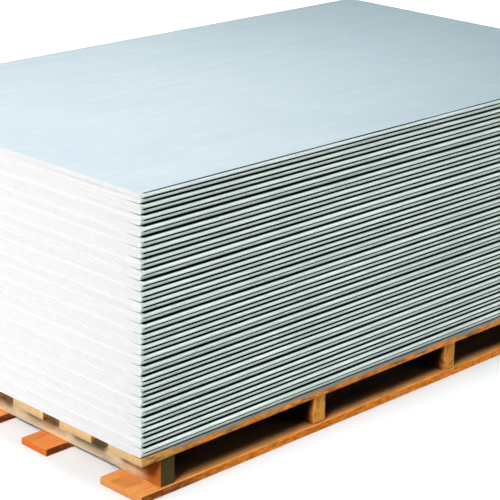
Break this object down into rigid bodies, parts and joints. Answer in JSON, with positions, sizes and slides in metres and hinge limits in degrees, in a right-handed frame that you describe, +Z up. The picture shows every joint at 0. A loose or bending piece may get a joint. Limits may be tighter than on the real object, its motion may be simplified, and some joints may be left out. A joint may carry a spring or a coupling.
{
  "type": "pallet of drywall sheets",
  "caption": "Flush stack of drywall sheets with half-round tapered edges laid in back-to-back pairs on a sawn-timber pallet with lengthwise deck boards, cross bearers and bottom runners.",
  "frame": {"origin": "on the floor, under the middle of the pallet", "axes": "+X along the sheets' length, +Y across them towards the back of the picture, +Z up"},
  "size_m": [2.002, 1.202, 0.757],
  "materials": {
    "board": "matt light grey liner paper, long edges wrapped",
    "wood": "rough-sawn softwood, bare"
  },
  "bodies": {
    "root": {"sheet_pair_01": "board", "sheet_pair_02": "board", "sheet_pair_03": "board", "sheet_pair_04": "board", "sheet_pair_05": "board", "sheet_pair_06": "board", "sheet_pair_07": "board", "sheet_pair_08": "board", "sheet_pair_09": "board", "sheet_pair_10": "board", "sheet_pair_11": "board", "sheet_pair_12": "board", "sheet_pair_13": "board", "sheet_pair_14": "board", "sheet_pair_15": "board", "sheet_pair_16": "board", "sheet_pair_17": "board", "sheet_pair_18": "board", "sheet_pair_19": "board", "sheet_pair_20": "board", "sheet_pair_21": "board", "sheet_pair_22": "board", "sheet_pair_23": "board", "sheet_pair_24": "board", "sheet_pair_25": "board", "deck_board_1": "wood", "deck_board_2": "wood", "deck_board_3": "wood", "deck_board_4": "wood", "deck_board_5": "wood", "deck_board_6": "wood", "deck_board_7": "wood", "bearer_1": "wood", "bearer_2": "wood", "bearer_3": "wood", "bearer_4": "wood", "bearer_5": "wood", "runner_1": "wood", "runner_2": "wood", "runner_3": "wood", "runner_4": "wood", "runner_5": "wood"}
  },
  "joints": []
}
